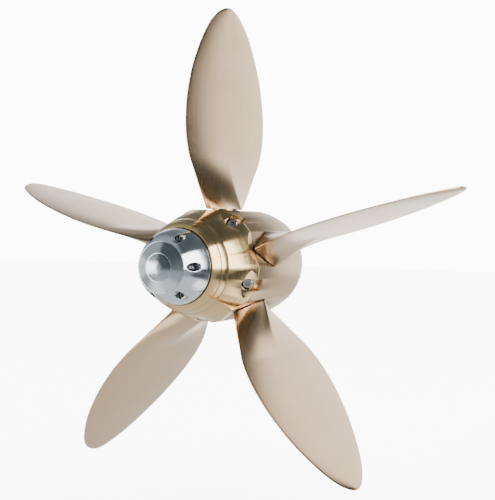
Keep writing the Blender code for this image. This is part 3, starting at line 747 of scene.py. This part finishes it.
SCREW_TREE = screw_tree()
steel_finish = screw_steel()
hub_screws = made_by_rule("hub_screw_heads", screw_places, SCREW_TREE, {
    "Head Radius": SCREW_HEAD_RADIUS, "Head Length": SCREW_HEAD_LENGTH, "Material": steel_finish})
replace_node(hub_screws, steel_finish, "hub", "screw_steel", *[f"hub_screw_{n}" for n in range(1, 6)])
anode_head_lift = RUNNING_GAP + ANODE_SCREW_HEAD_LENGTH - ANODE_SCREW_SEAT
anode_screw_places = [anode_hole(index) @ Matrix.Translation((0.0, 0.0, anode_head_lift))
                      for index in (1, 3, 5)]
anode_screws = made_by_rule("anode_screw_heads", anode_screw_places, SCREW_TREE, {
    "Head Radius": ANODE_SCREW_HEAD_RADIUS, "Head Length": ANODE_SCREW_HEAD_LENGTH,
    "Socket Width": 0.005, "Shank Radius": 0.003, "Edge Round": 0.0005, "Material": steel_finish})
replace_node(anode_screws, steel_finish, "hub", "screw_steel", *[f"anode_screw_{n}" for n in range(1, 4)])


# The five blades are cast in bronze and ground flat, so that they trail edge on when the
# boat sails. Each thickens into a four-sided root over a round stem that turns in the drum.
PROPELLER_RADIUS = 0.355
BLADE_BASE_RADIUS = 0.0762
STEM_END = 0.0546
GEAR_SPIGOT_RADIUS = 0.0120
GEAR_SPIGOT_END = 0.0420
CHORD_SCALE = 0.15
HALF_CHORDS = ((0.0756, 0.0512), (0.12, 0.0845), (0.16, 0.1092), (0.20, 0.1160),
               (0.25, 0.1106), (0.30, 0.0967), (0.335, 0.0851), (0.355, 0.0730))


def blade_tree():
    """The blade by rule: a sheet wrapped round its sections, on a stem and the gear's spigot."""
    floats = {"Base Radius": BLADE_BASE_RADIUS, "Tip Radius": PROPELLER_RADIUS, "Root End": 0.150,
              "Root Half Thickness": 0.0258, "Middle Half Thickness": 0.0044, "Tip Half Thickness": 0.0020,
              "Edge Thickness": 0.0012, "Foot Chamfer": 0.0005, "Ridge Softness": 0.035,
              "Stem Radius": STEM_RADIUS, "Stem End": STEM_END,
              "Spigot Radius": GEAR_SPIGOT_RADIUS, "Spigot End": GEAR_SPIGOT_END}
    inputs = {**floats, "Material": "NodeSocketMaterial"}
    tree, given, out = start_group("blade_form", "GeometryNodeTree", inputs, {"Blade": "NodeSocketGeometry"})
    rows, around = 150, 160
    grid = put(tree, "GeometryNodeMeshGrid", {"Size X": 1.0, "Size Y": 1.0, "Vertices X": around + 1,
                                              "Vertices Y": rows}).outputs["Mesh"]
    here = tree.nodes.new("GeometryNodeInputPosition").outputs[0]
    spot = put(tree, "ShaderNodeSeparateXYZ", {0: here}).outputs
    turn = maths(tree, "MULTIPLY", maths(tree, "ADD", spot["X"], 0.5), 2.0 * math.pi)
    row = maths(tree, "ROUND", maths(tree, "MULTIPLY", maths(tree, "ADD", spot["Y"], 0.5), rows - 1.0))
    chord_share = maths(tree, "MULTIPLY", maths(tree, "COSINE", turn), -1.0)
    side = maths(tree, "SIGN", maths(tree, "SINE", turn))
    above_foot = maths(tree, "GREATER_THAN", row, 1.5)
    off_floor = maths(tree, "GREATER_THAN", row, 0.5)
    climb = maths(tree, "MAXIMUM", 0.0, maths(tree, "DIVIDE", maths(tree, "SUBTRACT", row, 2.0), rows - 3.0))
    chamfer = maths(tree, "MULTIPLY", above_foot, given["Foot Chamfer"])
    start_radius = maths(tree, "ADD", given["Base Radius"], given["Foot Chamfer"])
    span = maths(tree, "SUBTRACT", given["Tip Radius"], start_radius)
    rise = maths(tree, "MULTIPLY", span, maths(tree, "SINE", maths(tree, "MULTIPLY", climb, math.pi / 2)))
    radius = maths(tree, "ADD", maths(tree, "ADD", given["Base Radius"], chamfer), rise)

    outline = tree.nodes.new("ShaderNodeFloatCurve")
    curve = outline.mapping.curves[0]
    reach = PROPELLER_RADIUS - HALF_CHORDS[0][0]
    curve.points[0].location = (0.0, HALF_CHORDS[0][1] / CHORD_SCALE)
    curve.points[1].location = (1.0, HALF_CHORDS[-1][1] / CHORD_SCALE)
    for station, half in HALF_CHORDS[1:-1]:
        curve.points.new((station - HALF_CHORDS[0][0]) / reach, half / CHORD_SCALE)
    outline.mapping.update()
    share = maths(tree, "DIVIDE", maths(tree, "SUBTRACT", radius, HALF_CHORDS[0][0]), reach)
    tree.links.new(share, outline.inputs["Value"])
    of_tip = maths(tree, "MINIMUM", maths(tree, "DIVIDE", radius, given["Tip Radius"]), 1.0)

    def times(first, second):
        return maths(tree, "MULTIPLY", first, second)

    def minus(first, second):
        return maths(tree, "SUBTRACT", first, second)

    def power(value, exponent):
        return maths(tree, "POWER", value, exponent)

    def falls_off(value, exponent):
        return maths(tree, "SQRT", minus(1.0, power(value, exponent)))

    chord = times(times(outline.outputs[0], CHORD_SCALE), falls_off(of_tip, 6.0))
    drawn_in = times(minus(1.0, above_foot), given["Foot Chamfer"])
    chord = minus(chord, drawn_in)

    away = maths(tree, "ABSOLUTE", chord_share)
    root_span = minus(given["Root End"], given["Base Radius"])
    root = maths(tree, "MAXIMUM", 0.0, maths(tree, "DIVIDE", minus(given["Root End"], radius), root_span))
    blade_span = minus(given["Tip Radius"], given["Base Radius"])
    outboard = maths(tree, "DIVIDE", minus(radius, given["Base Radius"]), blade_span)
    thinning = minus(given["Tip Half Thickness"], given["Middle Half Thickness"])
    plate = maths(tree, "MULTIPLY_ADD", thinning, outboard, given["Middle Half Thickness"])
    half_edge = times(given["Edge Thickness"], 0.5)
    domed = maths(tree, "MULTIPLY_ADD", minus(1.0, power(away, 3.0)), plate, half_edge)
    softness = given["Ridge Softness"]
    rounded = maths(tree, "SQRT", maths(tree, "ADD", power(away, 2.0), power(softness, 2.0)))
    roof = maths(tree, "MAXIMUM", 0.0, minus(1.0, minus(rounded, times(softness, 0.4))))
    faceted = maths(tree, "MULTIPLY_ADD", roof, plate, half_edge)
    ridge = times(times(minus(given["Root Half Thickness"], plate), power(root, 1.25)), roof)
    rooted = maths(tree, "MULTIPLY_ADD", faceted, root, ridge)
    thickness = maths(tree, "ADD", times(domed, minus(1.0, root)), rooted)
    thickness = times(thickness, times(falls_off(away, 70.0), falls_off(of_tip, 160.0)))
    thickness = maths(tree, "MAXIMUM", 0.0, minus(thickness, drawn_in))
    thickness = times(times(thickness, off_floor), side)
    place = put(tree, "ShaderNodeCombineXYZ", {"X": thickness, "Y": times(chord_share, chord),
                                               "Z": radius}).outputs[0]
    sheet = put(tree, "GeometryNodeSetPosition", {"Geometry": grid, "Position": place}).outputs[0]
    sheet = put(tree, "GeometryNodeMergeByDistance", {"Geometry": sheet, "Distance": 2e-6}).outputs[0]

    def round_bar(radius, low, high):
        bar = put(tree, "GeometryNodeMeshCylinder", {"Vertices": 64, "Radius": radius,
                                                     "Depth": minus(high, low)}).outputs["Mesh"]
        middle = times(maths(tree, "ADD", low, high), 0.5)
        raised = put(tree, "ShaderNodeCombineXYZ", {"Z": middle}).outputs[0]
        return put(tree, "GeometryNodeTransform", {"Geometry": bar, "Translation": raised}).outputs[0]

    whole = tree.nodes.new("GeometryNodeJoinGeometry")
    tree.links.new(sheet, whole.inputs[0])
    tree.links.new(round_bar(given["Stem Radius"], given["Stem End"], given["Base Radius"]), whole.inputs[0])
    tree.links.new(round_bar(given["Spigot Radius"], given["Spigot End"], given["Stem End"]), whole.inputs[0])
    spot_now = tree.nodes.new("GeometryNodeInputPosition").outputs[0]
    marked = put(tree, "GeometryNodeStoreNamedAttribute",
                 {"Geometry": whole.outputs[0], "Name": "blade_place", "Value": spot_now},
                 data_type="FLOAT_VECTOR", domain="POINT").outputs[0]
    tree.links.new(real_and_dressed(tree, marked, given["Material"]), out.inputs["Blade"])
    return tree


def ground_bronze():
    """Blade bronze from the belt: a soft grain across the blade, and paler edges that are part hand wear,
    part painted highlight.
    """
    material, tree, shader, _ = bare_metal("blade_bronze", 0.4, lathe=False)
    place = put(tree, "ShaderNodeAttribute", attribute_name="blade_place").outputs["Vector"]
    wear_and_glint = placed(tree, EDGE_WEAR_GLINT, place, Breakup=45.0)["Mask"]
    hands = placed(tree, HANDLING, place, Size=9.0)
    lengthwise = put(tree, "ShaderNodeMapping", {"Vector": place,
                                                 "Scale": (300.0, 1500.0, 20.0)}).outputs[0]
    grain = put(tree, "ShaderNodeTexNoise", {"Vector": lengthwise, "Scale": 1.0,
                                            "Detail": 3.0}).outputs["Fac"]
    cloud = put(tree, "ShaderNodeTexNoise", {"Vector": place, "Scale": 6.0, "Detail": 3.0}).outputs["Fac"]
    streak = ranged(tree, grain, 0.0, 1.0, 0.25, 0.75)
    colour = blended(tree, streak, (0.62, 0.43, 0.255), (0.76, 0.54, 0.325))
    colour = blended(tree, maths(tree, "MULTIPLY", cloud, 0.4), colour, (0.67, 0.475, 0.295))
    colour = blended(tree, maths(tree, "MULTIPLY", hands["Smudge"], 0.25), colour, (0.58, 0.40, 0.235))
    # Paler edges: part wear, part painted highlight.
    colour = blended(tree, maths(tree, "MULTIPLY", wear_and_glint, 0.5), colour, (0.92, 0.74, 0.54))
    tree.links.new(blended(tree, hands["Speck"], colour, (0.28, 0.20, 0.13)), shader.inputs["Base Color"])
    base = ranged(tree, grain, 0.11, 0.20)
    handled = maths(tree, "MULTIPLY_ADD", hands["Smudge"], 0.07, base)
    tree.links.new(maths(tree, "MULTIPLY_ADD", wear_and_glint, -0.08, handled), shader.inputs["Roughness"])
    bump = put(tree, "ShaderNodeBump", {"Strength": 0.25, "Distance": 0.00004, "Height": grain})
    tree.links.new(bump.outputs["Normal"], shader.inputs["Normal"])
    return material


BLADE_TREE = blade_tree()
blade_finish = ground_bronze()
for number, stand in enumerate(blade_places, start=1):
    blade = made_by_rule(f"blade_{number}_ground", [Matrix.Identity(4)], BLADE_TREE,
                         {"Material": blade_finish})
    ground = bmesh.new()
    ground.from_mesh(blade.data)
    bmesh.ops.recalc_face_normals(ground, faces=ground.faces)
    ground.to_mesh(blade.data)
    ground.free()
    blade.data.transform(stand)
    replace_node(blade, blade_finish, f"blade_{number}_set", "satin_bronze", f"blade_{number}")


# A bevel gear is keyed to the foot of each stem and runs on the boss's gear inside the hub.
# The gears are machined from stainless steel and run in grease.
# The gears take the screws' steel, and with it painted shade in their hollows and paler edges that are part
# painted highlight.
gear_finish = screw_steel()
gear_finish.name = "gear_steel"
for number in range(1, BLADE_COUNT + 1):
    gear = frame["nodes"][f"blade_gear_{number}"]
    gear.data.materials.clear()
    gear.data.materials.append(gear_finish)


# The floor is a wide pale sheet below the blades, under soft studio light, and the camera
# stands aft of the propeller and a little to its right.
FLOOR_HEIGHT = -0.42
FLOOR_REACH = 9.0
CAMERA_AZIMUTH = 26.9402
CAMERA_ELEVATION = 1.7646
CAMERA_ROLL = 1.4813
CAMERA_DISTANCE = 1.3371
CAMERA_RIGHT = 0.0335
CAMERA_UP = 0.0193
CAMERA_LENS = 68.71
SENSOR_WIDTH = 36.0
PLAIN_GLOW = 12.0
ROOM_GLOW = 0.48
STUDIO_PATCHES = (
    (-102.0, 24.0, 18.0, 25.0, 5.0, 0.09),
    (50.0, 82.0, 62.0, 20.0, 6.0, 0.12),
    (112.0, 10.0, 56.0, 6.0, 4.0, 0.42),
    (45.0, 34.0, 40.0, 15.0, 6.0, 0.14),
    (134.0, 12.0, 42.0, 26.0, 6.0, 0.20),
    (0.0, 200.0, -64.0, 38.0, 4.0, 0.95),
    (40.0, 18.0, -38.0, 9.0, 4.0, 2.6),
    (-140.0, 20.0, -42.0, 13.0, 5.0, 1.4),
    (92.0, 34.0, -19.0, 20.0, 6.0, 1.05),
    (94.0, 36.0, 7.0, 17.0, 4.0, 2.3),
    (113.0, 12.0, -8.0, 14.0, 5.0, 2.7),
    (36.0, 17.0, 4.0, 17.0, 4.0, 0.06),
    (22.0, 24.0, -19.0, 6.0, 3.0, 0.12),
    (-139.0, 17.0, -3.0, 9.0, 3.0, 5.0),
)


def pale_floor():
    shape = bmesh.new()
    bmesh.ops.create_circle(shape, cap_ends=True, segments=96, radius=FLOOR_REACH)
    shape.transform(Matrix.Translation((0.0, 0.0, FLOOR_HEIGHT)))
    floor = loose_object("floor", shape)
    material = bpy.data.materials.new("pale_floor")
    material.use_nodes = True
    tree = material.node_tree
    shader = tree.nodes["Principled BSDF"]
    place = put(tree, "ShaderNodeTexCoord").outputs["Object"]
    noise = put(tree, "ShaderNodeTexNoise", {"Vector": place, "Scale": 3.0, "Detail": 4.0}).outputs["Fac"]
    pale = blended(tree, noise, (0.97, 0.97, 0.965), (0.99, 0.99, 0.985))
    tree.links.new(pale, shader.inputs["Base Color"])
    shader.inputs["Roughness"].default_value = 0.7
    clear = put(tree, "ShaderNodeBsdfTransparent")
    glossy = put(tree, "ShaderNodeLightPath").outputs["Is Glossy Ray"]
    mix = put(tree, "ShaderNodeMixShader", {0: glossy, 1: shader.outputs[0], 2: clear.outputs[0]})
    tree.links.new(mix.outputs[0], tree.nodes["Material Output"].inputs["Surface"])
    floor.data.materials.append(material)


def soft_box(name, middle, facing, size, glow):
    """A rectangular light that shows in the metal, but not to the camera itself."""
    lamp = bpy.data.lights.new(name, "AREA")
    lamp.shape = "RECTANGLE"
    lamp.size, lamp.size_y = size
    lamp.energy = math.pi * size[0] * size[1] * glow
    item = bpy.data.objects.new(name, lamp)
    bpy.context.scene.collection.objects.link(item)
    item.location = middle
    item.rotation_euler = (-Vector(facing)).to_track_quat("Z", "Y").to_euler()
    item.visible_camera = False


def light_patch_group():
    """A soft-edged patch of the studio round the metal, by compass and height in degrees."""
    ways = {"Compass": 0.0, "Height": 0.0, "Middle": 0.0, "Half Width": 30.0, "Middle Height": 0.0,
            "Half Height": 20.0, "Softness": 6.0}
    tree, given, out = start_group("light_patch", "ShaderNodeTree", ways, {"Mask": "NodeSocketFloat"})
    turned = maths(tree, "WRAP", maths(tree, "SUBTRACT", given["Compass"], given["Middle"]), 180.0, -180.0)
    raised = maths(tree, "SUBTRACT", given["Height"], given["Middle Height"])
    masks = []
    for distance, half in ((turned, given["Half Width"]), (raised, given["Half Height"])):
        span = {"Value": maths(tree, "ABSOLUTE", distance), "To Min": 1.0, "To Max": 0.0,
                "From Min": maths(tree, "SUBTRACT", half, given["Softness"]),
                "From Max": maths(tree, "ADD", half, given["Softness"])}
        masks.append(put(tree, "ShaderNodeMapRange", span, interpolation_type="SMOOTHSTEP").outputs[0])
    tree.links.new(maths(tree, "MULTIPLY", *masks), out.inputs["Mask"])
    return tree


def studio_world():
    """White all round for the eye and the floor. The metal sees a sweep, a low table and dark gaps."""
    world = bpy.data.worlds.new("studio")
    bpy.context.scene.world = world
    world.use_nodes = True
    tree = world.node_tree
    way = put(tree, "ShaderNodeTexCoord").outputs["Generated"]
    toward = put(tree, "ShaderNodeSeparateXYZ", {0: way}).outputs
    compass = maths(tree, "DEGREES", maths(tree, "ARCTAN2", toward["Y"], toward["X"]))
    height = maths(tree, "DEGREES", maths(tree, "ARCSINE", toward["Z"]))
    patch = light_patch_group()
    glow = ROOM_GLOW
    for middle, half_width, middle_height, half_height, softness, strength in STUDIO_PATCHES:
        shape = put(tree, "ShaderNodeGroup", node_tree=patch)
        tree.links.new(compass, shape.inputs["Compass"])
        tree.links.new(height, shape.inputs["Height"])
        for label, value in (("Middle", middle), ("Half Width", half_width), ("Middle Height", middle_height),
                             ("Half Height", half_height), ("Softness", softness)):
            shape.inputs[label].default_value = value
        lift = maths(tree, "SUBTRACT", strength, glow)
        glow = maths(tree, "MULTIPLY_ADD", lift, shape.outputs["Mask"], glow)
    tint = blended(tree, ranged(tree, glow, 0.0, 1.0), (0.86, 1.0, 1.10), (1.0, 1.0, 1.0))
    backdrop = tree.nodes["Background"]
    tree.links.new(tint, backdrop.inputs["Color"])
    tree.links.new(glow, backdrop.inputs["Strength"])
    plain = put(tree, "ShaderNodeBackground", {"Color": (1.0, 1.0, 1.0, 1.0), "Strength": PLAIN_GLOW})
    rays = put(tree, "ShaderNodeLightPath").outputs
    plainly = maths(tree, "MAXIMUM", rays["Is Camera Ray"], rays["Is Diffuse Ray"])
    mix = put(tree, "ShaderNodeMixShader", {0: plainly, 1: backdrop.outputs[0], 2: plain.outputs[0]})
    tree.links.new(mix.outputs[0], tree.nodes["World Output"].inputs["Surface"])


def photo_camera():
    azimuth, elevation, roll = (math.radians(v) for v in (CAMERA_AZIMUTH, CAMERA_ELEVATION, CAMERA_ROLL))
    back = Vector((math.sin(azimuth) * math.cos(elevation), -math.cos(azimuth) * math.cos(elevation),
                   math.sin(elevation)))
    level = Vector((0.0, 0.0, 1.0)).cross(back).normalized()
    upright = back.cross(level)
    right = math.cos(roll) * level + math.sin(roll) * upright
    up = math.cos(roll) * upright - math.sin(roll) * level
    stand = CAMERA_DISTANCE * back + CAMERA_RIGHT * right + CAMERA_UP * up + Vector((0.0, BLADE_PLANE_Y, 0.0))
    lens = bpy.data.cameras.new("camera")
    lens.sensor_width = SENSOR_WIDTH
    lens.lens = CAMERA_LENS
    item = bpy.data.objects.new("camera", lens)
    bpy.context.scene.collection.objects.link(item)
    item.matrix_world = Matrix.Translation(stand) @ Matrix((right, up, back)).transposed().to_4x4()
    bpy.context.scene.camera = item


pale_floor()
studio_world()
soft_box("right_box", (0.45, -0.305, 0.19), (-1.0, 0.0, 0.0), (0.54, 0.43), 7.0)
photo_camera()
